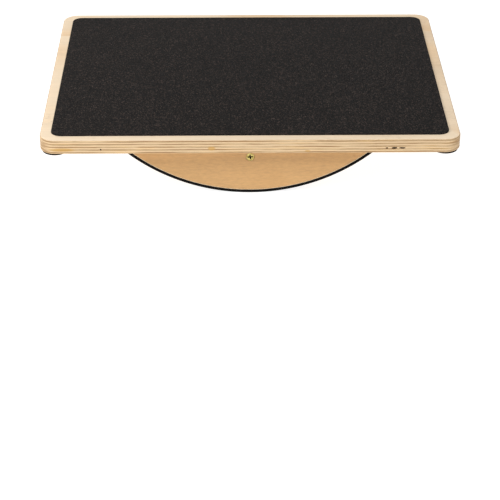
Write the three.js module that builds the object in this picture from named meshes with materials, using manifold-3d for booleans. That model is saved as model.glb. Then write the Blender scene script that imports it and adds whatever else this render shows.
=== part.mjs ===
// Wooden rocker board: a plywood deck with a grip sheet, on two curved rockers with rubber treads.
// Millimetres, +Z up. The origin is the floor under the centre of the board. +X runs along the long
// side, which is the direction of rocking, and -Y is the front.
import * as THREE from "three";
import { mergeVertices } from "three/addons/utils/BufferGeometryUtils.js";
import Module from "manifold-3d";

// ---------- driving dimensions ----------
const LENGTH = 445;
const DEPTH = 343;
const FLOOR_TO_DECK = 59;
const GLUE_LINE = 0.3; // clearance between two pieces that are glued, stuck or screwed together

const DECK = { thickness: 15, cornerRadius: 17, ease: 1 };
const GRIP = { thickness: 0.9, margin: 11.5, cornerRadius: 11 };
const ROCKER = { thickness: 17, inset: 22, radius: 200 };
// The tread's arc is an odd number of equal facets, so that the board stands level on a middle one.
const TREAD = { thickness: 2.8, facets: 31, facetDegrees: 2.765, tailEnd: 146, filletRadius: 8 };
const BRACE = { thickness: 17, height: 35 };
const PAD = { diameter: 28.5, thickness: 2.5, inset: 16, crownEdge: 0.6 };

// Countersunk wood screws: a 90 degree head, a plain shank at the thread's mean size, and a point.
const BRACE_SCREW = { headDiameter: 9, shankDiameter: 3.8, length: 50, point: 6 };
const DECK_SCREW = { headDiameter: 8, shankDiameter: 3.4, length: 35, point: 5 };
const HEAD_RIM = 0.4; // height of the cylindrical rim above a screw head's cone
const HEAD_SET = 0.3; // how far a screw head sits below the face around it
const RECESS = { length: 4.6, width: 1.1, depth: 1.9 };
const BRACE_SCREW_DROP = 16; // from the deck's underside down to the brace screws' axis
const END_SCREW_X = 82; // outer deck screws of a rocker, from its middle
const MIDDLE_SCREW_X = 14; // a rocker's middle deck screw, set off to miss the brace screw
const BRACE_DECK_SCREW_Y = 75;

const ROUND_STEPS = { screw: 20, pad: 36, corner: 8, fillet: 5 };

// ---------- derived dimensions ----------
const deckTop = FLOOR_TO_DECK + DECK.thickness;
const treadRadius = ROCKER.radius + GLUE_LINE + TREAD.thickness;
const treadInnerRadius = ROCKER.radius + GLUE_LINE;
const rockerY = DEPTH / 2 - ROCKER.inset - ROCKER.thickness / 2; // middle plane of a rocker
const braceLength = 2 * (rockerY - ROCKER.thickness / 2 - GLUE_LINE);
// The board stands on the lowest facet of the treads, so the arc's centre is that facet's distance up.
const facetAngle = THREE.MathUtils.degToRad(TREAD.facetDegrees);
const arcCentreZ = treadRadius * Math.cos(facetAngle / 2);
const seatZ = FLOOR_TO_DECK - GLUE_LINE; // top of the rockers, the treads' tails and the brace

// ---------- materials ----------
const woodFace = new THREE.MeshStandardMaterial({ color: 0xe3bd86, roughness: 0.55, metalness: 0 });
const woodPly = new THREE.MeshStandardMaterial({ color: 0xd9b079, roughness: 0.6, metalness: 0 });
const grit = new THREE.MeshStandardMaterial({ color: 0x2e2c2b, roughness: 0.95, metalness: 0 });
const rubber = new THREE.MeshStandardMaterial({ color: 0x262628, roughness: 0.75, metalness: 0 });
const platedSteel = new THREE.MeshStandardMaterial({ color: 0xb89a4e, roughness: 0.35, metalness: 1 });

// ---------- solids ----------
const wasm = await Module();
wasm.setup();

function toSolid(geometry) {
  const bare = geometry.clone();
  bare.deleteAttribute("normal");
  bare.deleteAttribute("uv");
  const merged = mergeVertices(bare, 1e-4);
  return new wasm.Manifold(
    new wasm.Mesh({
      numProp: 3,
      vertProperties: new Float32Array(merged.attributes.position.array),
      triVerts: new Uint32Array(merged.index.array),
    }),
  );
}

function toGeometry(solid) {
  const mesh = solid.getMesh();
  const indexed = new THREE.BufferGeometry();
  indexed.setAttribute("position", new THREE.BufferAttribute(mesh.vertProperties, 3));
  indexed.setIndex(new THREE.BufferAttribute(mesh.triVerts, 1));
  const flat = indexed.toNonIndexed();
  flat.computeVertexNormals();
  return flat;
}

function cut(geometry, cutters) {
  let solid = toSolid(geometry);
  for (const cutter of cutters) {
    solid = solid.subtract(toSolid(cutter));
  }
  return toGeometry(solid);
}

function named(name, geometry, material) {
  const mesh = new THREE.Mesh(geometry, material);
  mesh.name = name;
  return mesh;
}

// ---------- outlines ----------
function arc(centreX, centreY, radius, from, to, steps) {
  const points = [];
  for (let i = 0; i <= steps; i++) {
    const angle = from + ((to - from) * i) / steps;
    points.push(
      new THREE.Vector2(centreX + radius * Math.cos(angle), centreY + radius * Math.sin(angle)),
    );
  }
  return points;
}

function roundedRectangle(width, height, radius) {
  const quarter = Math.PI / 2;
  const corners = [
    [1, 1],
    [-1, 1],
    [-1, -1],
    [1, -1],
  ];
  const points = corners.flatMap(([sideX, sideY], i) =>
    arc(
      sideX * (width / 2 - radius),
      sideY * (height / 2 - radius),
      radius,
      i * quarter,
      (i + 1) * quarter,
      ROUND_STEPS.corner,
    ),
  );
  return new THREE.Shape(points);
}

// The rockers' and treads' outlines are drawn in X and Z, about the arc's centre.
// Height of the seat plane in that frame, and the half angle at which an arc of this radius meets it.
const seatY = seatZ - arcCentreZ;
const seatAngle = (radius) => Math.acos(-seatY / radius);

function lowerArc(radius, halfAngle, steps) {
  return arc(0, 0, radius, -Math.PI / 2 - halfAngle, -Math.PI / 2 + halfAngle, steps);
}

function rockerOutline() {
  return new THREE.Shape(lowerArc(ROCKER.radius, seatAngle(ROCKER.radius), TREAD.facets));
}

// The tread follows the rocker's edge. Each end turns out through a hollow fillet, tangent to the
// arc's end, and lies flat against the deck as a short tail.
function treadOutline() {
  const endAngle = (facetAngle * TREAD.facets) / 2;
  const outer = lowerArc(treadRadius, endAngle, TREAD.facets);
  const filletX = (treadRadius + TREAD.filletRadius) * Math.sin(endAngle);
  const filletY = -(treadRadius + TREAD.filletRadius) * Math.cos(endAngle);
  const tailY = filletY + TREAD.filletRadius;
  const rightFillet = arc(
    filletX,
    filletY,
    TREAD.filletRadius,
    Math.PI / 2 + endAngle,
    Math.PI / 2,
    ROUND_STEPS.fillet,
  ).slice(1);
  const rightTail = [
    new THREE.Vector2(TREAD.tailEnd, tailY),
    new THREE.Vector2(TREAD.tailEnd, seatY),
  ];
  const rightSide = [...rightFillet, ...rightTail];
  const leftSide = rightSide.map((point) => new THREE.Vector2(-point.x, point.y)).reverse();
  const inner = lowerArc(treadInnerRadius, seatAngle(treadInnerRadius), TREAD.facets).reverse();
  return new THREE.Shape([...leftSide, ...outer, ...rightSide, ...inner]);
}

// Extruded along its own axis, centred on the outline's plane.
function slab(outline, thickness) {
  const geometry = new THREE.ExtrudeGeometry(outline, { depth: thickness, bevelEnabled: false });
  return geometry.translate(0, 0, -thickness / 2);
}

// ---------- screws ----------
// A screw stands in its own frame with the face it is driven into at height 0, pointing down.
function screwProfile(screw, clearance) {
  const headRadius = screw.headDiameter / 2 + clearance;
  const shankRadius = screw.shankDiameter / 2 + clearance;
  const rimBottom = -HEAD_SET - HEAD_RIM;
  const coneBottom = rimBottom - (headRadius - shankRadius);
  const tip = -HEAD_SET - screw.length - clearance;
  const top = clearance > 0 ? 1 : -HEAD_SET; // a hole runs out past the face
  return [
    new THREE.Vector2(0, tip),
    new THREE.Vector2(shankRadius, tip + screw.point),
    new THREE.Vector2(shankRadius, coneBottom),
    new THREE.Vector2(headRadius, rimBottom),
    new THREE.Vector2(headRadius, top),
    new THREE.Vector2(0, top),
  ];
}

// LatheGeometry turns about Y, and a screw's axis here is Z.
function turned(profile, steps) {
  return new THREE.LatheGeometry(profile, steps).rotateX(Math.PI / 2);
}

function screwGeometry(screw) {
  const blank = turned(screwProfile(screw, 0), ROUND_STEPS.screw);
  const recessZ = -HEAD_SET - RECESS.depth / 2 + 0.5;
  const slots = [0, Math.PI / 2].map((turn) =>
    new THREE.BoxGeometry(RECESS.length, RECESS.width, RECESS.depth + 1)
      .rotateZ(turn)
      .translate(0, 0, recessZ),
  );
  return cut(blank, slots);
}

function screwHole(screw) {
  return turned(screwProfile(screw, GLUE_LINE), ROUND_STEPS.screw);
}

// ---------- where the deck screws go ----------
const rockerDeckScrews = [
  ["left", -END_SCREW_X],
  ["middle", MIDDLE_SCREW_X],
  ["right", END_SCREW_X],
];
const deckScrews = [
  ...rockerDeckScrews.map(([place, x]) => ({ name: `front_${place}_deck_screw`, x, y: -rockerY })),
  ...rockerDeckScrews.map(([place, x]) => ({ name: `rear_${place}_deck_screw`, x, y: rockerY })),
  { name: "front_brace_deck_screw", x: 0, y: -BRACE_DECK_SCREW_Y },
  { name: "rear_brace_deck_screw", x: 0, y: BRACE_DECK_SCREW_Y },
];

function deckScrewHoles() {
  return deckScrews.map(({ x, y }) => screwHole(DECK_SCREW).translate(x, y, deckTop));
}

// ---------- pieces ----------
function deck() {
  const inner = roundedRectangle(LENGTH, DEPTH, DECK.cornerRadius);
  const geometry = new THREE.ExtrudeGeometry(inner, {
    depth: DECK.thickness - 2 * DECK.ease,
    bevelEnabled: true,
    bevelThickness: DECK.ease,
    bevelSize: DECK.ease,
    bevelOffset: -DECK.ease,
    bevelSegments: 2,
  }).translate(0, 0, FLOOR_TO_DECK + DECK.ease);
  return named("deck", cut(geometry, deckScrewHoles()), woodPly);
}

function gripSheet() {
  const outline = roundedRectangle(
    LENGTH - 2 * GRIP.margin,
    DEPTH - 2 * GRIP.margin,
    GRIP.cornerRadius,
  );
  const sheet = named("grip_sheet", slab(outline, GRIP.thickness), grit);
  sheet.position.z = deckTop + GLUE_LINE + GRIP.thickness / 2;
  return sheet;
}

// One rocker with its tread and brace screw, in a frame with X along the board, Y up from the arc's
// centre, and Z out of the rocker's outer face.
function rockerUnit(side, turn) {
  const unit = new THREE.Group();
  unit.rotation.order = "ZYX";
  unit.rotation.set(Math.PI / 2, 0, turn);
  unit.position.set(0, turn === 0 ? -rockerY : rockerY, arcCentreZ);

  const outerFace = ROCKER.thickness / 2;
  const screwY = FLOOR_TO_DECK - BRACE_SCREW_DROP - arcCentreZ;
  const deckY = deckTop - arcCentreZ;
  const facing = turn === 0 ? 1 : -1; // the rear unit's X runs the other way
  const deckHoles = rockerDeckScrews.map(([, x]) =>
    screwHole(DECK_SCREW)
      .rotateX(-Math.PI / 2)
      .translate(facing * x, deckY, 0),
  );
  const braceHole = screwHole(BRACE_SCREW).translate(0, screwY, outerFace);
  const rockerSolid = cut(slab(rockerOutline(), ROCKER.thickness), [...deckHoles, braceHole]);

  const screw = named(`${side}_brace_screw`, screwGeometry(BRACE_SCREW), platedSteel);
  screw.position.set(0, screwY, outerFace);
  screw.rotation.z = turn === 0 ? 0.08 : 0.9; // how far each was driven round

  unit.add(named(`${side}_rocker`, rockerSolid, woodPly));
  unit.add(named(`${side}_tread`, slab(treadOutline(), ROCKER.thickness), rubber));
  unit.add(screw);
  return unit;
}

function crossBrace() {
  const middleZ = seatZ - BRACE.height / 2;
  const block = new THREE.BoxGeometry(BRACE.thickness, braceLength, BRACE.height).translate(
    0,
    0,
    middleZ,
  );
  const screwZ = FLOOR_TO_DECK - BRACE_SCREW_DROP;
  const faceY = rockerY + ROCKER.thickness / 2;
  const frontHole = screwHole(BRACE_SCREW)
    .rotateX(Math.PI / 2)
    .translate(0, -faceY, screwZ);
  const rearHole = screwHole(BRACE_SCREW)
    .rotateX(-Math.PI / 2)
    .translate(0, faceY, screwZ);
  return named(
    "cross_brace",
    cut(block, [frontHole, rearHole, ...deckScrewHoles()]),
    woodFace,
  );
}

function pads() {
  const radius = PAD.diameter / 2;
  const profile = [
    new THREE.Vector2(0, -PAD.thickness),
    new THREE.Vector2(radius - PAD.crownEdge, -PAD.thickness),
    new THREE.Vector2(radius, -PAD.thickness + PAD.crownEdge),
    new THREE.Vector2(radius, 0),
    new THREE.Vector2(0, 0),
  ];
  const places = [
    ["front_left_pad", -1, -1],
    ["front_right_pad", 1, -1],
    ["rear_left_pad", -1, 1],
    ["rear_right_pad", 1, 1],
  ];
  return places.map(([name, sideX, sideY]) => {
    const pad = named(name, turned(profile, ROUND_STEPS.pad), rubber);
    pad.position.set(
      sideX * (LENGTH / 2 - PAD.inset),
      sideY * (DEPTH / 2 - PAD.inset),
      FLOOR_TO_DECK - GLUE_LINE,
    );
    return pad;
  });
}

function drivenDeckScrews() {
  return deckScrews.map(({ name, x, y }, i) => {
    const screw = named(name, screwGeometry(DECK_SCREW), platedSteel);
    screw.position.set(x, y, deckTop);
    screw.rotation.z = 0.4 * i;
    return screw;
  });
}

// ---------- assembly ----------
const board = new THREE.Group();
board.add(deck(), gripSheet(), crossBrace());
board.add(rockerUnit("front", 0), rockerUnit("rear", Math.PI));
board.add(...pads(), ...drivenDeckScrews());

export default board;
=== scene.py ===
"""The looks of a wooden rocker board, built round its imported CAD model.

Metres, +Z up, the origin on the floor under the middle of the board. +X runs along the long side and
-Y is the front. Every place comes from the CAD nodes' boxes and from the few sizes named below.
"""

import math

import bmesh
import bpy
from mathutils import Matrix, Vector


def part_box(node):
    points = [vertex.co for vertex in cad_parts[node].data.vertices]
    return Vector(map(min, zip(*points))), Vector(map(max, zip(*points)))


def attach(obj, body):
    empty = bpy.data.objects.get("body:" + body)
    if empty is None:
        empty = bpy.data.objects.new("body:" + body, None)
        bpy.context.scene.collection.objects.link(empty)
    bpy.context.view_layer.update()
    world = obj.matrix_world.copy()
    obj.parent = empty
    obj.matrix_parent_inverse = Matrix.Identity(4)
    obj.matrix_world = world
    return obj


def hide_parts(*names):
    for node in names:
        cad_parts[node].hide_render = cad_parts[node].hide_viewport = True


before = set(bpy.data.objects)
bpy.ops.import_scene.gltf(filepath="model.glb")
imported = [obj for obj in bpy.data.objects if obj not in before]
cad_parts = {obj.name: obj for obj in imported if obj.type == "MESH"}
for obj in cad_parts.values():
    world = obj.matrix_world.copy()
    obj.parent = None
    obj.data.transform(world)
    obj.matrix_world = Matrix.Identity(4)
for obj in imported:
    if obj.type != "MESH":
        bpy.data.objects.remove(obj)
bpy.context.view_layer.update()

MM = 0.001
scene = bpy.context.scene

# ---------- sizes that the CAD boxes don't give ----------
DECK_FACE_PLY = 0.45 * MM  # the thin outer plies of the deck's plywood
ROCKER_FACE_PLY = 1.1 * MM  # the rockers' and the brace's
INNER_PLIES = 9  # the plies between the outer two
CONTACT = 0.05 * MM  # what is left of the CAD's glue gaps
SUPPORT = 0.35 * MM  # a narrow ring beside each rounded edge, which keeps the flat faces flat

DECK_CORNER = 17 * MM
DECK_TOP_ARRIS = 1.3 * MM
DECK_BOTTOM_ARRIS = 0.45 * MM
GLUE_GROOVE = (0.05 * MM, 0.13 * MM)  # depth and half width
# Gaps between core strips that open on the deck's front edge: place along it, height above the
# deck's underside, length and breadth.
CORE_GAPS = [
    (-157.5 * MM, 4.9 * MM, 1.8 * MM, 2.0 * MM),
    (143.5 * MM, 5.4 * MM, 2.6 * MM, 1.5 * MM),
    (151.5 * MM, 5.4 * MM, 6.0 * MM, 2.3 * MM),
    (159.8 * MM, 5.4 * MM, 7.0 * MM, 1.9 * MM),
]
GRIP_CORNER = 11 * MM
ROCKER_RADIUS = 200 * MM
ROCKER_ARRIS = 1.2 * MM
BRACE_ARRIS = 0.8 * MM
TREAD_FILLET = 8 * MM
TREAD_END_ANGLE = math.radians(2.765 * 31 / 2)  # where the floor side leaves the arc
TREAD_EDGE = 0.5 * MM
PAD_CROWN = 0.75 * MM  # the radius round the pad's lower edge
PAD_DISH = 0.15 * MM  # how far the middle of the pad's face is sunk
PAD_DISH_START = 0.86  # shares of the pad's radius
PAD_DISH_SLOPE = 0.80
PAD_DISH_END = 0.72
FLAT_FACE = 0.98  # a face whose normal is this close to an axis counts as flat
SHARP_EDGE = math.radians(38)

# Countersunk wood screws.
BRACE_SCREW = {"head": 9 * MM, "shank": 3.8 * MM, "length": 50 * MM, "point": 6 * MM, "pitch": 2.2 * MM}
DECK_SCREW = {"head": 8 * MM, "shank": 3.4 * MM, "length": 35 * MM, "point": 5 * MM, "pitch": 1.9 * MM}
HEAD_RIM = 0.4 * MM  # the height of the head's straight side
HEAD_SET = 0.3 * MM  # how far the head sits below the face
HOLE_CLEARANCE = 0.3 * MM
PLAIN_SHANK = 0.28  # the share of the length that has no thread
THREAD_CORE = 0.78  # shares of the shank's radius
THREAD_RIDGE = 0.34
THREAD_ROWS = 9  # rings of points in one turn of the thread
RECESS = {"length": 5.6 * MM, "width": 1.5 * MM, "depth": 2.4 * MM}
BRACE_SCREW_TURNS = {"front": 0.08, "rear": 0.9}  # radians
DECK_SCREW_TURN = 0.4  # radians from one deck screw to the next

# ---------- boxes ----------
deck_low, deck_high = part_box("deck")
grip_low, grip_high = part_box("grip_sheet")
brace_low, brace_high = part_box("cross_brace")
rocker_low, rocker_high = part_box("front_rocker")
tread_end_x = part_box("front_tread")[1].x

deck_thickness = deck_high.z - deck_low.z
arc_centre_z = rocker_low.z + ROCKER_RADIUS
rocker_half = (rocker_high.y - rocker_low.y) / 2
rocker_middle_y = -(rocker_high.y + rocker_low.y) / 2  # from the board's middle line
SIDES = (("front", -1), ("rear", 1))  # each rocker's name and the sign of its Y


def inner_ply_thickness(thickness, face_ply):
    """The thickness of one inner ply of a board."""
    return (thickness - 2 * face_ply) / INNER_PLIES


# ---------- mesh building ----------
def skin(rings):
    """A closed surface through rings of points, with a flat face at each end."""
    surface = bmesh.new()
    rows = [[surface.verts.new(point) for point in ring] for ring in rings]
    count = len(rows[0])
    for lower, upper in zip(rows, rows[1:]):
        for i in range(count):
            j = (i + 1) % count
            surface.faces.new((lower[i], lower[j], upper[j], upper[i]))
    surface.faces.new(list(reversed(rows[0])))
    surface.faces.new(rows[-1])
    bmesh.ops.recalc_face_normals(surface, faces=surface.faces)
    mesh = bpy.data.meshes.new("skin")
    surface.to_mesh(mesh)
    surface.free()
    return mesh


def quarter_round(radius, steps=5):
    """(inset, depth) pairs from a flat face, round its edge, to the side."""
    angles = [math.pi / 2 * i / steps for i in range(steps + 1)]
    return [(radius * (1 - math.sin(a)), radius * (1 - math.cos(a))) for a in angles]


def slab_profile(thickness, low_radius, high_radius, side_rows=()):
    """(inset, height) rows from the lower face to the upper one, both edges rounded."""
    lower = [(low_radius + SUPPORT, 0)] + quarter_round(low_radius)
    upper = [(high_radius + SUPPORT, 0)] + quarter_round(high_radius)
    return lower + list(side_rows) + [(inset, thickness - depth) for inset, depth in reversed(upper)]


def slab(outline, profile, place):
    """outline(inset) gives the points of one row, and place(u, v, height) puts each in space."""
    return skin([[place(u, v, height) for u, v in outline(inset)] for inset, height in profile])


def arc_points(centre, radius, start, end, steps):
    """Points on an arc between two angles, both ends included."""
    turn = (end - start) / steps
    return [
        (
            centre[0] + radius * math.cos(start + turn * i),
            centre[1] + radius * math.sin(start + turn * i),
        )
        for i in range(steps + 1)
    ]


def rounded_rectangle(width, depth, radius, steps):
    """An outline function for a rectangle with round corners."""

    def outline(inset):
        points = []
        for i, (side_u, side_v) in enumerate([(1, 1), (-1, 1), (-1, -1), (1, -1)]):
            centre = (side_u * (width / 2 - radius), side_v * (depth / 2 - radius))
            start = math.pi / 2 * i
            points += arc_points(centre, radius - inset, start, start + math.pi / 2, steps)
        return points

    return outline


def carved(mesh, cutters):
    """The mesh with each cutter mesh taken away from it."""
    body = bpy.data.objects.new("carved", mesh)
    scene.collection.objects.link(body)
    tools = []
    for cutter in cutters:
        tool = bpy.data.objects.new("cutter", cutter)
        scene.collection.objects.link(tool)
        tools.append(tool)
        modifier = body.modifiers.new("cut", "BOOLEAN")
        modifier.operation = "DIFFERENCE"
        modifier.solver = "EXACT"
        modifier.object = tool
    evaluated = body.evaluated_get(bpy.context.evaluated_depsgraph_get())
    result = bpy.data.meshes.new_from_object(evaluated)
    for helper in [body, *tools]:
        bpy.data.objects.remove(helper)
    return result


def piece(name, mesh, materials, slot, *nodes):
    """Makes the mesh a finished piece that stands for those CAD nodes."""
    made = bpy.data.objects.new(name, mesh)
    scene.collection.objects.link(made)
    mesh.name = name
    for material in materials:
        mesh.materials.append(material)
    mesh.shade_smooth()
    mesh.set_sharp_from_angle(angle=SHARP_EDGE)
    weigh = made.modifiers.new("flat faces stay flat", "WEIGHTED_NORMAL")
    weigh.keep_sharp = True
    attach(made, "root")
    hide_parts(*nodes)
    return made


def paint_faces(mesh, choose):
    """choose(normal, centre) gives the index of a face's material."""
    for face in mesh.polygons:
        face.material_index = choose(face.normal, face.center)


# ---------- screws and their holes ----------
def screw_rows(screw, clearance):
    """The radii of a screw's head and shank, and the heights where its rim and cone end."""
    head = screw["head"] / 2 + clearance
    shank = screw["shank"] / 2 + clearance
    rim_bottom = -HEAD_SET - HEAD_RIM
    return head, shank, rim_bottom, rim_bottom - (head - shank)


def turned(rows, steps):
    """A solid of revolution about Z from (radius, height) rows."""
    angles = [2 * math.pi * i / steps for i in range(steps)]
    return skin([[(r * math.cos(a), r * math.sin(a), z) for a in angles] for r, z in rows])


def screw_hole(screw, place):
    """The cutter for a screw's hole, open above the head."""
    head, shank, rim_bottom, cone_bottom = screw_rows(screw, HOLE_CLEARANCE)
    tip = -HEAD_SET - screw["length"] - HOLE_CLEARANCE
    rows = [
        (HOLE_CLEARANCE, tip),
        (shank, tip + screw["point"]),
        (shank, cone_bottom),
        (head, rim_bottom),
        (head, 2 * MM),
    ]
    mesh = turned(rows, 32)
    mesh.transform(place)
    return mesh


def threaded_ring(z, core, crest, pitch, steps):
    """One ring of the thread: the ridge stands out where the helix passes this height."""
    ring = []
    for i in range(steps):
        angle = 2 * math.pi * i / steps
        phase = (z / pitch + i / steps) % 1
        ridge = max(0.0, 1 - abs(phase - 0.5) / 0.24)
        radius = core + (crest - core) * ridge
        ring.append((radius * math.cos(angle), radius * math.sin(angle), z))
    return ring


def screw_mesh(screw, place, steps=28):
    """A countersunk wood screw with a rolled thread, a gimlet point and a cross recess."""
    head, shank, rim_bottom, cone_bottom = screw_rows(screw, 0)
    chamfer = 0.15 * MM
    thread_top = cone_bottom - PLAIN_SHANK * screw["length"]
    tip = -HEAD_SET - screw["length"]
    rows = [
        (head - chamfer - SUPPORT, -HEAD_SET),
        (head - chamfer, -HEAD_SET),
        (head, -HEAD_SET - chamfer),
        (head, rim_bottom),
        (shank * 1.15, cone_bottom - 0.15 * MM),
        (shank * 0.95, cone_bottom - 0.6 * MM),
        (shank * 0.95, thread_top),
    ]
    angles = [2 * math.pi * i / steps for i in range(steps)]
    rings = [[(r * math.cos(a), r * math.sin(a), z) for a in angles] for r, z in rows]
    count = int((thread_top - tip) / screw["pitch"] * THREAD_ROWS)
    for i in range(1, count + 1):
        z = thread_top - (thread_top - tip) * i / count
        above_tip = (z - tip) / screw["point"]
        taper = min(1.0, 0.12 + 0.88 * above_tip)
        fade = min(1.0, i / THREAD_ROWS)
        core = shank * THREAD_CORE * taper
        crest = core + shank * THREAD_RIDGE * fade * min(1.0, 0.3 + above_tip)
        rings.append(threaded_ring(z, core, crest, screw["pitch"], steps))
    # Each arm of the recess narrows from above the head down to its floor.
    arm_rows = [(0.42, -HEAD_SET - RECESS["depth"]), (1.0, -HEAD_SET), (1.25, 0.5 * MM)]
    recess_arms = []
    for turn in (0, math.pi / 2):
        sections = []
        for share, z in arm_rows:
            half = RECESS["length"] / 2 * share
            width = RECESS["width"] / 2 * (0.55 + 0.45 * share)
            corners = ((half, -width), (half, width), (-half, width), (-half, -width))
            sections.append([(x, y, z) for x, y in corners])
        arm = skin(sections)
        arm.transform(Matrix.Rotation(turn, 4, "Z"))
        recess_arms.append(arm)
    mesh = carved(skin(rings), recess_arms)

    # Faces of the cross recess get the second material, which is painted shade.
    def choose(normal, centre):
        depth = -HEAD_SET - centre.z
        inside_cone = math.hypot(centre.x, centre.y) < (head - depth) * 0.7
        below_face = 0.02 * MM < depth < RECESS["depth"] + 0.1 * MM
        return 1 if below_face and inside_cone else 0

    paint_faces(mesh, choose)
    mesh.transform(place)
    return mesh


def upward(node, face_z):
    """Where a screw driven down into a face stands."""
    low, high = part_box(node)
    middle = (low + high) / 2
    return Matrix.Translation((middle.x, middle.y, face_z))


def outward(node, side):
    """Where a brace screw stands: side is -1 for the front rocker and 1 for the rear one."""
    low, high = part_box(node)
    middle = (low + high) / 2
    face_y = side * (rocker_middle_y + rocker_half)
    tip_over = Matrix.Rotation(-side * math.pi / 2, 4, "X")
    return Matrix.Translation((middle.x, face_y, middle.z)) @ tip_over


deck_screws = [name for name in sorted(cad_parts) if name.endswith("_deck_screw")]


def deck_screw_holes(names):
    """Cutters for the deck screws of those names."""
    return [screw_hole(DECK_SCREW, upward(name, deck_high.z)) for name in names]


# ---------- material graphs ----------
class Graph:
    """A material's node tree. Each call adds a node and returns the socket to use next."""

    def __init__(self, name):
        self.material = bpy.data.materials.new(name)
        self.material.use_nodes = True
        self.tree = self.material.node_tree
        self.tree.nodes.clear()
        self.coordinates = self.add("TexCoord")

    def add(self, kind, inputs=None, **settings):
        """Adds a node. Each input is a socket to link from or a value to set."""
        made = self.tree.nodes.new("ShaderNode" + kind)
        for key, value in settings.items():
            setattr(made, key, value)
        for key, value in (inputs or {}).items():
            if isinstance(value, bpy.types.NodeSocket):
                self.tree.links.new(value, made.inputs[key])
            else:
                made.inputs[key].default_value = value
        return made

    def math(self, operation, *values):
        return self.add("Math", dict(enumerate(values)), operation=operation).outputs[0]

    def grain_space(self, order):
        """Object coordinates with the named axes put first, second and third."""
        parts = self.add("SeparateXYZ", {0: self.coordinates.outputs["Object"]})
        reordered = {i: parts.outputs[axis] for i, axis in enumerate(order)}
        return self.add("CombineXYZ", reordered).outputs[0]

    def scaled(self, vector, scale, offset=(0, 0, 0)):
        """The vector times a scale, which is one number or one for each axis."""
        if isinstance(scale, float):
            scale = (scale, scale, scale)
        inputs = {"Vector": vector, "Scale": scale, "Location": offset}
        return self.add("Mapping", inputs).outputs[0]

    def noise(self, vector, detail=2.0, roughness=0.5, distortion=0.0):
        inputs = {
            "Vector": vector,
            "Scale": 1.0,
            "Detail": detail,
            "Roughness": roughness,
            "Distortion": distortion,
        }
        return self.add("TexNoise", inputs).outputs[0]

    def rise(self, value, low, high, to_low=0.0, to_high=1.0):
        """Goes smoothly from to_low to to_high as value goes from low to high."""
        inputs = {0: value, 1: low, 2: high, 3: to_low, 4: to_high}
        return self.add("MapRange", inputs, interpolation_type="SMOOTHSTEP").outputs[0]

    def mix(self, share, first, second, blend="MIX"):
        inputs = {0: share, 6: first, 7: second}
        return self.add("Mix", inputs, data_type="RGBA", blend_type=blend).outputs[2]

    def shade(self, colour, lightness):
        """colour times a lightness near 1."""
        grey = self.add("CombineColor", {0: lightness, 1: lightness, 2: lightness}).outputs[0]
        return self.mix(1.0, colour, grey, blend="MULTIPLY")

    def finish(self, colour, roughness, height, relief, specular=0.5, metallic=0.0, glow=0.0):
        """Ends the tree in a Principled shader. relief is the bump's real height in metres."""
        bump = self.add("Bump", {"Height": height, "Distance": relief, "Strength": 1.0})
        inputs = {"Base Color": colour, "Roughness": roughness, "Normal": bump.outputs[0]}
        shader = self.add("BsdfPrincipled", inputs)
        shader.inputs["Specular IOR Level"].default_value = specular
        shader.inputs["Metallic"].default_value = metallic
        shader.inputs["Emission Color"].default_value = (1, 1, 1, 1)
        shader.inputs["Emission Strength"].default_value = glow
        output = self.add("OutputMaterial", {"Surface": shader.outputs[0]})
        output.is_active_output = True
        return self.material


def rgb(red, green, blue):
    """A display colour, 0 to 255, as the linear colour that a shader takes."""
    linear = [
        value / 255 / 12.92 if value <= 10 else ((value / 255 + 0.055) / 1.055) ** 2.4
        for value in (red, green, blue)
    ]
    return (*linear, 1.0)


WOOD_PALE = rgb(217, 189, 150)
WOOD_END = rgb(158, 123, 83)
WOOD_HONEY = rgb(238, 206, 158)
WOOD_WARM = rgb(218, 158, 84)
WOOD_FLECK = rgb(132, 86, 48)
WOOD_YELLOW = rgb(224, 184, 118)
GLUE_LINE = rgb(128, 92, 58)
RESIN_STAIN = rgb(196, 150, 74)
TOP_PALE = rgb(246, 224, 194)
TOP_WARM = rgb(236, 196, 146)
ROCKER_PALE = rgb(202, 160, 108)
ROCKER_WARM = rgb(186, 140, 84)
ROCKER_EDGE = rgb(250, 230, 196)
BRACE_PALE = rgb(226, 190, 140)
BRACE_WARM = rgb(208, 156, 98)
BRACE_EDGE = rgb(248, 230, 198)
BRACE_END = rgb(200, 172, 136)
# Near-black painted shade for the wood inside the core gaps.
GAP_SHADE_DARK = rgb(22, 12, 5)
GAP_SHADE_LIGHT = rgb(66, 40, 20)
# The grit's own black, then the colour of its painted glints.
GRIT_DARK = (0.0014, 0.0007, 0.0005, 1)
GRIT_PAINTED_GLINT = (0.066, 0.048, 0.040, 1)
FLOOR_GREY = (0.30, 0.30, 0.30, 1)

# The veneers' patterns, in cycles a metre along, across and through the grain.
RINGS = (2.3, 4.6, 30.0)
RING_PATCHES = (4.2, 6.0, 25.0)
HAZE = (5.0, 9.0, 30.0)
FINE_GRAIN = (16.0, 850.0, 300.0)
STREAKS = (9.0, 120.0, 60.0)
CLOUDS = (9.0, 15.0, 30.0)
SHORT_GRAIN = (150.0, 520.0, 200.0)
PORES = (150.0, 1050.0, 200.0)

# The plywood edges' patterns, in cycles a metre along the edge and through the stack of plies.
PLY_WANDER = 26.0
PLY_TONE = (22.0, 640.0)
PLY_FIBRE = (70.0, 1500.0)
END_PORES = 1100.0


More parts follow.
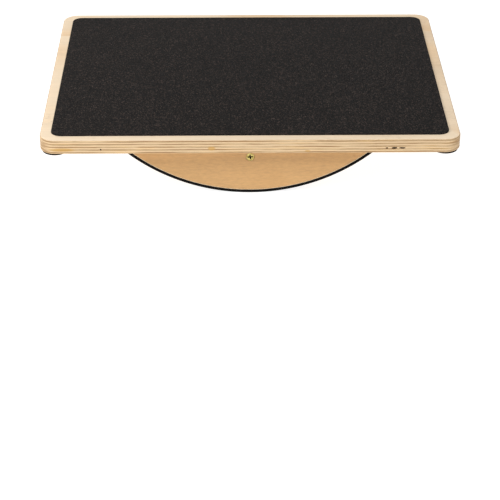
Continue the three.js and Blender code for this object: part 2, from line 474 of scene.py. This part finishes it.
def veneer(name, order, seed, pale, warm, figure=1.0, flecks=1.0, mottle=0.0):
    """A sanded, sealed face veneer. order names the axes along, across and through the grain.

    figure is the strength of the warm rings, flecks that of the dark pores and mottle that of the
    short uneven grain.
    """
    graph = Graph(name)
    space = graph.grain_space(order)

    # Wide rings of the peeled log: each has a soft side and a sharp side.
    rings = graph.noise(graph.scaled(space, RINGS, (seed, seed * 0.7, 0)), 1.2, 0.35, 0.5)
    ring = graph.math("FRACT", graph.math("MULTIPLY", rings, 5.5))
    patches = graph.noise(graph.scaled(space, RING_PATCHES, (seed, 0, seed)), 2.0, 0.5)
    patch_area = graph.rise(patches, 0.42, 0.56)
    swell = graph.rise(ring, 0.25, 0.93)
    edge = graph.rise(ring, 1.0, 0.94)
    patch = graph.math("MULTIPLY", graph.math("MULTIPLY", swell, edge), patch_area)
    haze = graph.noise(graph.scaled(space, HAZE, (0, seed, 0)), 3.0, 0.55, 0.4)
    hazy = graph.math("MULTIPLY", graph.rise(haze, 0.42, 0.68), 0.42)
    warmth = graph.math("MAXIMUM", patch, hazy)
    colour = graph.mix(graph.math("MULTIPLY", warmth, 0.85 * figure), pale, warm)

    fine = graph.noise(graph.scaled(space, FINE_GRAIN, (seed, 0, 0)), 3.0, 0.6)
    streak = graph.noise(graph.scaled(space, STREAKS, (0, 0, seed)), 4.0, 0.6, 0.3)
    cloud = graph.noise(graph.scaled(space, CLOUDS, (0, seed, seed)), 3.0)
    tone = graph.math("ADD", graph.math("MULTIPLY", fine, 0.12), graph.math("MULTIPLY", streak, 0.24))
    tone = graph.math("ADD", tone, graph.math("MULTIPLY", cloud, 0.20))
    tone = graph.math("ADD", tone, 1 - 0.28 - mottle / 2)
    short = graph.noise(graph.scaled(space, SHORT_GRAIN, (seed, seed, seed)), 4.0, 0.75)
    tone = graph.math("ADD", tone, graph.math("MULTIPLY", short, mottle))
    colour = graph.shade(colour, tone)

    # Short dark pores, which crowd along some of the rings.
    ring_lines = graph.math("PINGPONG", graph.math("MULTIPLY", rings, 9.0), 0.5)
    near_ring = graph.rise(ring_lines, 0.30, 0.46)
    fleck_area = graph.rise(haze, 0.38, 0.60, 0.15, 1.0)
    marks = graph.noise(graph.scaled(space, PORES, (seed, seed, 0)), 1.0)
    crowd = graph.math("MULTIPLY", near_ring, fleck_area)
    mark = graph.math("MULTIPLY", graph.rise(marks, 0.62, 0.70), crowd)
    colour = graph.mix(graph.math("MULTIPLY", mark, 0.75 * flecks), colour, WOOD_FLECK)

    roughness = graph.math("ADD", graph.math("MULTIPLY", fine, 0.16), 0.44)
    height = graph.math("SUBTRACT", graph.math("MULTIPLY", fine, 0.6), mark)
    return graph.finish(colour, roughness, height, 0.03 * MM, specular=0.35)


def edge_scale(stack, pattern):
    """A pattern's scale for each axis, where stack names the axis through the plies."""
    along, through = pattern
    return tuple(through if axis == stack else along for axis in "XYZ")


def plywood_edge(name, order, start, thickness, face_ply, seed, pale, end_grain, stains=()):
    """A plywood edge. order names the face plies' grain, the other plies' grain and the stack.

    Plies with their grain along the edge look pale, and the ones that show end grain look darker.
    stains are small resin marks on the front edge: (place along it, height, length, breadth).
    """
    graph = Graph(name)
    grain, cross, stack = order
    space = graph.coordinates.outputs["Object"]
    parts = graph.add("SeparateXYZ", {0: space})
    facing = graph.add("SeparateXYZ", {0: graph.coordinates.outputs["Normal"]})
    pair = 2 * inner_ply_thickness(thickness, face_ply)
    wander = graph.noise(graph.scaled(space, PLY_WANDER, (seed, 0, 0)), 3.0, 0.6)
    wander = graph.math("MULTIPLY", graph.math("SUBTRACT", wander, 0.5), 0.22)
    level = graph.math("DIVIDE", graph.math("SUBTRACT", parts.outputs[stack], start + face_ply), pair)
    level = graph.math("ADD", level, wander)
    from_middle = graph.math("ABSOLUTE", graph.math("SUBTRACT", graph.math("FRACT", level), 0.25))
    cross_ply = graph.rise(from_middle, 0.24, 0.16)
    at_glue = graph.math("ABSOLUTE", graph.math("SUBTRACT", from_middle, 0.20))

    # Slow noises that are stretched along the edge, so each ply has a tone of its own.
    tone_scale = edge_scale(stack, PLY_TONE)
    ply_tone = graph.noise(graph.scaled(space, tone_scale, (seed, seed, 0)), 3.0, 0.6)
    fading = graph.noise(graph.scaled(space, tone_scale, (0, seed, seed)), 2.0, 0.6)
    fibre_scale = edge_scale(stack, PLY_FIBRE)
    fibre = graph.noise(graph.scaled(space, fibre_scale, (seed, 0, seed)), 3.0, 0.6)
    pores = graph.noise(graph.scaled(space, END_PORES, (0, 0, seed)), 2.0, 0.6)

    face_end = graph.math("ABSOLUTE", facing.outputs[grain])
    cross_end = graph.math("ABSOLUTE", facing.outputs[cross])
    face_part = graph.math("MULTIPLY", face_end, graph.math("SUBTRACT", 1.0, cross_ply))
    end = graph.math("ADD", face_part, graph.math("MULTIPLY", cross_end, cross_ply))
    end = graph.rise(end, 0.2, 0.9)
    end = graph.math("MULTIPLY", end, graph.rise(fading, 0.36, 0.60, 0.2, 1.0))

    colour = graph.mix(end, pale, end_grain)
    yellow = graph.rise(ply_tone, 0.52, 0.72, 0.0, 0.35)
    colour = graph.mix(yellow, colour, WOOD_YELLOW)
    tone = graph.math("ADD", graph.math("MULTIPLY", pores, 0.14), graph.math("MULTIPLY", ply_tone, 0.30))
    tone = graph.math("ADD", tone, graph.math("MULTIPLY", fibre, 0.26))
    colour = graph.shade(colour, graph.math("ADD", tone, 1 - 0.34))
    line = graph.rise(at_glue, 0.085, 0.02)
    line = graph.math("MULTIPLY", line, graph.rise(fibre, 0.40, 0.64, 0.08, 0.7))
    colour = graph.mix(line, colour, GLUE_LINE)

    on_front = graph.rise(facing.outputs["Y"], -0.3, -0.7, 0.0, 0.7)
    for place, height, length, tall in stains:
        along = graph.math("DIVIDE", graph.math("SUBTRACT", parts.outputs[grain], place), length / 2)
        above = graph.math("DIVIDE", graph.math("SUBTRACT", parts.outputs[stack], height), tall / 2)
        squares = [graph.math("MULTIPLY", offset, offset) for offset in (along, above)]
        spread = graph.math("ADD", graph.math("ADD", *squares), graph.math("MULTIPLY", fibre, 0.8))
        stain = graph.math("MULTIPLY", graph.rise(spread, 1.5, 0.7), on_front)
        colour = graph.mix(stain, colour, RESIN_STAIN)

    roughness = graph.math("ADD", graph.math("MULTIPLY", pores, 0.2), 0.5)
    height = graph.math("SUBTRACT", graph.math("MULTIPLY", pores, end), line)
    return graph.finish(colour, roughness, height, 0.05 * MM, specular=0.3)


def gap_shade_wood(name):
    """Painted shade for the rough wood inside a gap in the core: near-black, with fibres a little
    lighter.
    """
    graph = Graph(name)
    space = graph.coordinates.outputs["Object"]
    fibre = graph.noise(graph.scaled(space, (300.0, 900.0, 2400.0)), 3.0, 0.6)
    colour = graph.mix(graph.rise(fibre, 0.35, 0.7), GAP_SHADE_DARK, GAP_SHADE_LIGHT)
    return graph.finish(colour, graph.math("ADD", fibre, 0.4), fibre, 0.1 * MM, specular=0.1)


def grit_sheet(name):
    """Black mineral grit in resin on a film, with painted glints on some grains."""
    graph = Graph(name)
    space = graph.coordinates.outputs["Object"]
    cells = graph.add("TexVoronoi", {"Vector": space, "Scale": 1250.0})
    cell = graph.add("SeparateXYZ", {0: cells.outputs["Color"]}).outputs[0]
    crowns = graph.rise(cells.outputs["Distance"], 0.75, 0.1)
    clumps = graph.noise(graph.scaled(space, 420.0), 3.0, 0.6)
    cloud = graph.noise(graph.scaled(space, 14.0), 3.0, 0.5)
    # Some grains are painted lighter: painted glints, standing in for light catching the grit.
    painted_glint = graph.rise(cell, 0.68, 1.0)
    colour = graph.mix(painted_glint, GRIT_DARK, GRIT_PAINTED_GLINT)
    tone = graph.math("ADD", graph.math("MULTIPLY", clumps, 4.0), graph.math("MULTIPLY", cloud, 0.5))
    colour = graph.shade(colour, graph.math("SUBTRACT", tone, 1.25))
    roughness = graph.math("ADD", graph.math("MULTIPLY", cell, 0.25), 0.45)
    height = graph.math("ADD", graph.math("MULTIPLY", crowns, cell), graph.math("MULTIPLY", clumps, 0.6))
    return graph.finish(colour, roughness, height, 0.12 * MM, specular=0.14)


def rubber(name, shade, worn_sheen, seed):
    """Matte black rubber with a faint moulded skin, greyer on faces that don't face along Y: rubbing
    wear and a painted sheen.

    shade is the clean colour and worn_sheen the greyer one, for wear and painted sheen. The sides, which
    face along Y, stay clean.
    """
    graph = Graph(name)
    space = graph.coordinates.outputs["Object"]
    facing = graph.add("SeparateXYZ", {0: graph.coordinates.outputs["Normal"]})
    # Faces that don't face along Y turn greyer and bluish: partly rubbing wear, partly painted sheen
    # where light falls on them.
    wear_and_sheen = graph.rise(graph.math("ABSOLUTE", facing.outputs["Y"]), 0.75, 0.35)
    grain = graph.noise(graph.scaled(space, 1500.0, (seed, 0, 0)), 2.0, 0.6)
    dust = graph.noise(graph.scaled(space, 60.0, (0, seed, 0)), 4.0, 0.65)
    wear_and_sheen = graph.math("MULTIPLY", wear_and_sheen, graph.rise(dust, 0.25, 0.8, 0.55, 1.0))
    colour = graph.mix(wear_and_sheen, (*shade, 1), (*worn_sheen, 1))
    tone = graph.math("ADD", graph.math("MULTIPLY", grain, 0.5), 0.75)
    colour = graph.shade(colour, tone)
    roughness = graph.math("ADD", graph.math("MULTIPLY", dust, 0.2), 0.56)
    return graph.finish(colour, roughness, grain, 0.03 * MM, specular=0.1)


def yellow_zinc(name, bright, toned, spotted, lowest_roughness):
    """Steel with a yellow passivated zinc plating, worn and toned unevenly."""
    graph = Graph(name)
    space = graph.coordinates.outputs["Object"]
    tint = graph.noise(graph.scaled(space, 450.0), 3.0, 0.6)
    spots = graph.noise(graph.scaled(space, 2600.0), 2.0, 0.5)
    colour = graph.mix(graph.rise(tint, 0.3, 0.7), bright, toned)
    colour = graph.mix(graph.rise(spots, 0.58, 0.72, 0.0, 0.5), colour, spotted)
    roughness = graph.math("ADD", graph.math("MULTIPLY", tint, 0.3), lowest_roughness)
    return graph.finish(colour, roughness, spots, 0.01 * MM, metallic=1.0)


def studio_floor(name):
    """A pale floor, which glows a little so that it stays white to its far edge."""
    graph = Graph(name)
    space = graph.coordinates.outputs["Object"]
    cloud = graph.noise(graph.scaled(space, 1.5), 2.0)
    tone = graph.math("ADD", graph.math("MULTIPLY", cloud, 0.01), 0.99)
    colour = graph.shade(FLOOR_GREY, tone)
    return graph.finish(colour, graph.math("ADD", cloud, 0.4), cloud, 0.01 * MM, glow=0.9)


# ---------- the materials ----------
# Small resin marks on the deck's front edge: place along it, height, length and breadth.
DECK_STAINS = [
    (-41 * MM, deck_low.z + 5.6 * MM, 9 * MM, 5.5 * MM),
    (-198 * MM, deck_low.z + 4.5 * MM, 30 * MM, 4.5 * MM),
    (60 * MM, deck_low.z + 2.4 * MM, 7 * MM, 2.0 * MM),
]

top_veneer = veneer("top_veneer", "XYZ", 3.1, TOP_PALE, TOP_WARM, figure=0.7, flecks=0.5)
under_veneer = veneer("underside_veneer", "XYZ", 7.4, WOOD_HONEY, WOOD_WARM)
rocker_veneer = veneer(
    "rocker_veneer", "XZY", 1.7, ROCKER_PALE, ROCKER_WARM, figure=0.3, flecks=0.4, mottle=0.55
)
brace_veneer = veneer(
    "brace_veneer", "YZX", 5.2, BRACE_PALE, BRACE_WARM, figure=0.4, flecks=0.5, mottle=0.2
)
deck_edge = plywood_edge(
    "deck_plies",
    "XYZ",
    deck_low.z,
    deck_thickness,
    DECK_FACE_PLY,
    2.2,
    WOOD_PALE,
    WOOD_END,
    DECK_STAINS,
)
rocker_edges = {
    side_name: plywood_edge(
        f"{side_name}_rocker_plies",
        "XZY",
        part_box(f"{side_name}_rocker")[0].y,
        2 * rocker_half,
        ROCKER_FACE_PLY,
        4.6,
        ROCKER_EDGE,
        WOOD_END,
    )
    for side_name, _ in SIDES
}
brace_edge = plywood_edge(
    "brace_plies",
    "YZX",
    brace_low.x,
    brace_high.x - brace_low.x,
    ROCKER_FACE_PLY,
    8.3,
    BRACE_EDGE,
    BRACE_END,
)
core_gap_shade = gap_shade_wood("gap_shade_wood")
black_grit = grit_sheet("black_grit")
# Each rubber's clean colour, then its greyer colour for wear and painted sheen.
tread_rubber = rubber("tread_rubber", (0.0016, 0.0012, 0.0010), (0.0170, 0.0178, 0.0200), 1.0)
pad_rubber = rubber("pad_rubber", (0.0030, 0.0026, 0.0026), (0.0125, 0.0095, 0.0095), 6.0)
zinc = yellow_zinc("yellow_zinc", rgb(226, 208, 134), rgb(172, 150, 82), rgb(104, 82, 38), 0.3)
# The near-black plating colours in the cross recess are painted shade.
recess_painted_shade = yellow_zinc("recess_painted_shade", rgb(26, 18, 4), rgb(16, 10, 2), rgb(8, 5, 1), 0.6)


# ---------- deck ----------
def glue_rows():
    """Rows up the deck's side, with a fine groove sanded open at each inner glue line."""
    depth, half = GLUE_GROOVE
    rows = []
    for i in range(1, INNER_PLIES):
        z = DECK_FACE_PLY + inner_ply_thickness(deck_thickness, DECK_FACE_PLY) * i
        rows += [(0, z - half), (depth, z), (0, z + half)]
    return rows


def core_gap(middle_x, z, length, height, depth=2.5 * MM):
    """A lens-shaped cutter for a gap between core strips that opens on the deck's front edge."""
    steps = 12
    mouth_y = deck_low.y - 1 * MM
    sections = []
    for i in range(steps + 1):
        share = -1 + 2 * i / steps
        swell = math.sqrt(max(0.0, 1 - share * share)) * 0.97 + 0.03
        x = middle_x + length / 2 * share
        half = height / 2 * swell
        floor_y = deck_low.y + depth * swell
        sections.append([
            (x, mouth_y, z - half),
            (x, mouth_y, z + half),
            (x, floor_y, z + half * 0.6),
            (x, floor_y, z - half * 0.6),
        ])
    return skin(sections)


def in_core_gap(centre):
    """Whether a face of the deck lies inside one of the core gaps."""
    behind_front = centre.y - deck_low.y
    if not 0.06 * MM < behind_front < 4 * MM:
        return False
    rise = centre.z - deck_low.z
    return any(
        abs(centre.x - x) < length / 2 + 0.1 * MM and abs(rise - gap_rise) < breadth
        for x, gap_rise, length, breadth in CORE_GAPS
    )


def make_deck():
    """The plywood board, with its core gaps and the holes for the deck screws."""
    width = deck_high.x - deck_low.x
    depth = deck_high.y - deck_low.y
    outline = rounded_rectangle(width, depth, DECK_CORNER, 14)
    profile = slab_profile(deck_thickness, DECK_BOTTOM_ARRIS, DECK_TOP_ARRIS, glue_rows())
    board = slab(outline, profile, lambda u, v, height: (u, v, deck_low.z + height))
    gaps = [core_gap(x, deck_low.z + rise, length, breadth) for x, rise, length, breadth in CORE_GAPS]
    board = carved(board, deck_screw_holes(deck_screws) + gaps)

    def choose(normal, centre):
        # Faces inside the core gaps get near-black painted shade.
        if in_core_gap(centre):
            return 3
        if abs(normal.z) > FLAT_FACE:
            return 0 if normal.z > 0 else 1
        return 2

    paint_faces(board, choose)
    materials = [top_veneer, under_veneer, deck_edge, core_gap_shade]
    piece("plywood_deck", board, materials, "deck_wood", "deck")


def make_grip():
    """The grit sheet on the board's top."""
    size = grip_high - grip_low
    bottom = deck_high.z + CONTACT
    outline = rounded_rectangle(size.x, size.y, GRIP_CORNER, 12)
    sheet = slab(
        outline,
        slab_profile(grip_high.z - bottom, 0.1 * MM, 0.22 * MM),
        lambda u, v, height: (u, v, bottom + height),
    )
    piece("abrasive_grip_sheet", sheet, [black_grit], "grit", "grip_sheet")


# ---------- rockers, treads and brace ----------
def segment(inset):
    """The outline of a rocker in X and Z, from one foot round the arc to the other."""
    radius = ROCKER_RADIUS - inset
    seat = deck_low.z - CONTACT - inset
    half_angle = math.acos((arc_centre_z - seat) / radius)
    middle = -math.pi / 2
    return arc_points((0, arc_centre_z), radius, middle - half_angle, middle + half_angle, 120)


def make_rocker(side_name, side):
    """A plywood segment on edge, with holes for its deck screws and its brace screw."""
    y = side * rocker_middle_y
    thickness = 2 * rocker_half
    wood = slab(
        segment,
        slab_profile(thickness, ROCKER_ARRIS, ROCKER_ARRIS),
        lambda u, v, height: (u, y - rocker_half + height, v),
    )
    screw_name = f"{side_name}_brace_screw"
    own_screws = [name for name in deck_screws if name.startswith(side_name) and "brace" not in name]
    holes = deck_screw_holes(own_screws) + [screw_hole(BRACE_SCREW, outward(screw_name, side))]
    wood = carved(wood, holes)
    paint_faces(wood, lambda normal, centre: 0 if abs(normal.y) > FLAT_FACE else 1)
    materials = [rocker_veneer, rocker_edges[side_name]]
    piece(f"{side_name}_rocker_plywood", wood, materials, "rocker_wood", f"{side_name}_rocker")


def tread_paths():
    """Matching points along the tread's wood side and floor side, from one tail to the other."""
    inner_radius = ROCKER_RADIUS + CONTACT
    outer_radius = arc_centre_z
    seat = deck_low.z - CONTACT
    inner_end = math.acos((arc_centre_z - seat) / inner_radius)
    reach = outer_radius + TREAD_FILLET
    fillet_x = reach * math.sin(TREAD_END_ANGLE)
    fillet_z = arc_centre_z - reach * math.cos(TREAD_END_ANGLE)
    tail_z = fillet_z + TREAD_FILLET
    foot_x = inner_radius * math.sin(inner_end)
    half_steps = 60
    right = []
    for i in range(half_steps + 1):
        share = i / half_steps
        inner = share * inner_end
        outer = share * TREAD_END_ANGLE
        right.append((
            (inner_radius * math.sin(inner), arc_centre_z - inner_radius * math.cos(inner)),
            (outer_radius * math.sin(outer), arc_centre_z - outer_radius * math.cos(outer)),
        ))
    fillet_steps = 8
    for i in range(1, fillet_steps + 1):
        share = i / fillet_steps
        angle = TREAD_END_ANGLE * (1 - share)
        outer = (fillet_x - TREAD_FILLET * math.sin(angle), fillet_z + TREAD_FILLET * math.cos(angle))
        right.append(((foot_x + (fillet_x - foot_x) * share, seat), outer))
    for x in (tread_end_x - 1.2 * MM, tread_end_x - 0.3 * MM):
        right.append(((x, seat), (x, tail_z)))
    left = [((-inner[0], inner[1]), (-outer[0], outer[1])) for inner, outer in reversed(right[1:])]
    return left + right


def tread_section(inner, outer, half_width, edge):
    """The ring of points round the tread where its two sides are these points."""
    inner, outer = Vector(inner), Vector(outer)
    thickness = (outer - inner).length
    across = (outer - inner) / thickness
    corners = quarter_round(edge, 4)
    ring = []
    for side in (-1, 1):
        rounded = [(thickness - depth, side * (half_width - inset)) for inset, depth in corners]
        square = [(0.0, side * (half_width - edge)), (0.15 * MM, side * half_width)]
        ring += (square + rounded[::-1]) if side < 0 else (rounded + square[::-1])
    return [(inner + across * along, y) for along, y in ring]


def make_tread(side_name, side):
    """The rubber strip round a rocker's arc, with a tail at each end."""
    y = side * rocker_middle_y
    paths = tread_paths()
    rings = []
    for inner, outer in paths:
        section = tread_section(inner, outer, rocker_half, TREAD_EDGE)
        rings.append([(point.x, y + offset, point.y) for point, offset in section])

    # A slightly smaller last ring rounds each end.
    seat = paths[0][0][1] - 0.15 * MM
    tail = paths[0][1][1] + 0.25 * MM
    caps = []
    for x in (-tread_end_x, tread_end_x):
        section = tread_section((x, seat), (x, tail), rocker_half - 0.3 * MM, TREAD_EDGE * 0.6)
        caps.append([(x, y + offset, point.y) for point, offset in section])
    rings = [caps[0], *rings, caps[1]]
    piece(f"{side_name}_tread_rubber", skin(rings), [tread_rubber], "rubber", f"{side_name}_tread")


def make_brace():
    """The bar between the rockers, with holes for the screws at its ends and above it."""
    size = brace_high - brace_low
    middle_z = (brace_high.z + brace_low.z) / 2
    top_gap = deck_low.z - CONTACT - brace_high.z
    height = size.z + top_gap
    half_length = rocker_middle_y - rocker_half - CONTACT
    outline = rounded_rectangle(size.x, height, BRACE_ARRIS, 5)
    rows = [(0, -half_length), (0, half_length)]
    bar = slab(outline, rows, lambda u, v, along: (u, along, middle_z + top_gap / 2 + v))
    holes = [
        screw_hole(BRACE_SCREW, outward(f"{side_name}_brace_screw", side))
        for side_name, side in SIDES
    ]
    holes += deck_screw_holes([name for name in deck_screws if "brace" in name])
    bar = carved(bar, holes)
    paint_faces(bar, lambda normal, centre: 0 if abs(normal.x) > FLAT_FACE else 1)
    piece("cross_brace_plywood", bar, [brace_veneer, brace_edge], "rocker_wood", "cross_brace")


# ---------- pads and screws ----------
def make_pad(node):
    """A rubber disc with a rounded lower edge and a slightly dished face."""
    low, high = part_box(node)
    middle = (low + high) / 2
    radius = (high.x - low.x) / 2
    top = deck_low.z - CONTACT
    rows = [(radius - 0.6 * MM, top), (radius - 0.2 * MM, top), (radius, top - 0.2 * MM)]
    crown = quarter_round(PAD_CROWN, 6)
    rows += [(radius - inset, low.z + depth) for inset, depth in reversed(crown)]
    rows += [
        (radius * PAD_DISH_START, low.z),
        (radius * PAD_DISH_SLOPE, low.z + PAD_DISH * 0.7),
        (radius * PAD_DISH_END, low.z + PAD_DISH),
    ]
    disc = turned(rows, 80)
    disc.transform(Matrix.Translation((middle.x, middle.y, 0)))
    piece(f"{node}_rubber", disc, [pad_rubber], "rubber", node)


def make_screw(name, screw, place, turn):
    """A screw turned about its own axis by an angle in radians."""
    mesh = screw_mesh(screw, place @ Matrix.Rotation(turn, 4, "Z"))
    piece(f"{name}_threaded", mesh, [zinc, recess_painted_shade], "plated_steel", name)


def make_screws():
    """All ten screws, each in its hole."""
    for i, name in enumerate(deck_screws):
        make_screw(name, DECK_SCREW, upward(name, deck_high.z), DECK_SCREW_TURN * i)
    for side_name, side in SIDES:
        name = f"{side_name}_brace_screw"
        make_screw(name, BRACE_SCREW, outward(name, side), BRACE_SCREW_TURNS[side_name])


make_deck()
make_grip()
make_brace()
for side_name, side in SIDES:
    make_rocker(side_name, side)
    make_tread(side_name, side)
for node in sorted(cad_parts):
    if node.endswith("_pad"):
        make_pad(node)
make_screws()

# ---------- floor, light and camera ----------
FLOOR_RADIUS = 14.0
FLOOR_SIDES = 64
last_corner = 2 * math.pi * (FLOOR_SIDES - 1) / FLOOR_SIDES
floor_mesh = bpy.data.meshes.new("studio_floor")
floor_ring = arc_points((0, 0), FLOOR_RADIUS, 0, last_corner, FLOOR_SIDES - 1)
floor_mesh.from_pydata([(x, y, 0) for x, y in floor_ring], [], [list(range(FLOOR_SIDES))])
floor = bpy.data.objects.new("studio_floor", floor_mesh)
floor_mesh.materials.append(studio_floor("pale_floor"))
scene.collection.objects.link(floor)

# The room is white near the horizon, so that the floor has no visible end, and dimmer overhead.
HORIZON_LIGHT = 1.0
ROOM_LIGHT = 0.37
HORIZON_TOP = math.radians(7)  # how high the white part reaches
HORIZON_FADE = math.radians(14)  # where the dimmer part starts

world = bpy.data.worlds.new("soft_white_room")
world.use_nodes = True
background = world.node_tree.nodes["Background"]
background.inputs["Color"].default_value = (1, 1, 1, 1)
direction = world.node_tree.nodes.new("ShaderNodeTexCoord")
height = world.node_tree.nodes.new("ShaderNodeSeparateXYZ")
brightness = world.node_tree.nodes.new("ShaderNodeMapRange")
brightness.interpolation_type = "SMOOTHSTEP"
brightness.inputs["From Min"].default_value = math.sin(HORIZON_TOP)
brightness.inputs["From Max"].default_value = math.sin(HORIZON_FADE)
brightness.inputs["To Min"].default_value = HORIZON_LIGHT
brightness.inputs["To Max"].default_value = ROOM_LIGHT
world.node_tree.links.new(direction.outputs["Generated"], height.inputs["Vector"])
world.node_tree.links.new(height.outputs["Z"], brightness.inputs["Value"])
world.node_tree.links.new(brightness.outputs["Result"], background.inputs["Strength"])
scene.world = world


BOARD_MIDDLE = Vector((0, 0, 0.05))


def soft_light(name, place, width, power):
    """A white softbox of that width and power in watts, aimed at the board."""
    data = bpy.data.lights.new(name, "AREA")
    data.shape = "RECTANGLE"
    data.size = width
    data.size_y = width * 0.7
    data.energy = power
    lamp = bpy.data.objects.new(name, data)
    lamp.location = place
    lamp.rotation_mode = "QUATERNION"
    lamp.rotation_quaternion = (BOARD_MIDDLE - Vector(place)).to_track_quat("-Z", "Y")
    scene.collection.objects.link(lamp)


soft_light("left_softbox", (-1.0, -0.5, 0.65), 0.6, 5.5)
soft_light("back_left_strip", (-1.2, 0.9, 0.42), 0.6, 5)
soft_light("front_softbox", (-0.2, -2.1, 3.3), 3.0, 72)

CAMERA_PLACE = Vector((-0.0247, -1.7137, 0.850))
CAMERA_DIRECTION = Vector((0.0136, 0.8613, -0.5079))
CAMERA_ROLL = math.radians(0.153)
CAMERA_LENS = 118.3  # millimetres, on a sensor 36 mm wide
camera_data = bpy.data.cameras.new("front_camera")
camera_data.sensor_width = 36.0
camera_data.lens = CAMERA_LENS
camera_data.clip_start = 0.05
camera_data.clip_end = 60.0
camera = bpy.data.objects.new("front_camera", camera_data)
camera.location = CAMERA_PLACE
camera.rotation_mode = "QUATERNION"
level = CAMERA_DIRECTION.to_track_quat("-Z", "Y")
camera.rotation_quaternion = level @ Matrix.Rotation(CAMERA_ROLL, 3, "Z").to_quaternion()
scene.collection.objects.link(camera)
scene.camera = camera

scene.view_settings.view_transform = "Standard"
scene.view_settings.look = "None"
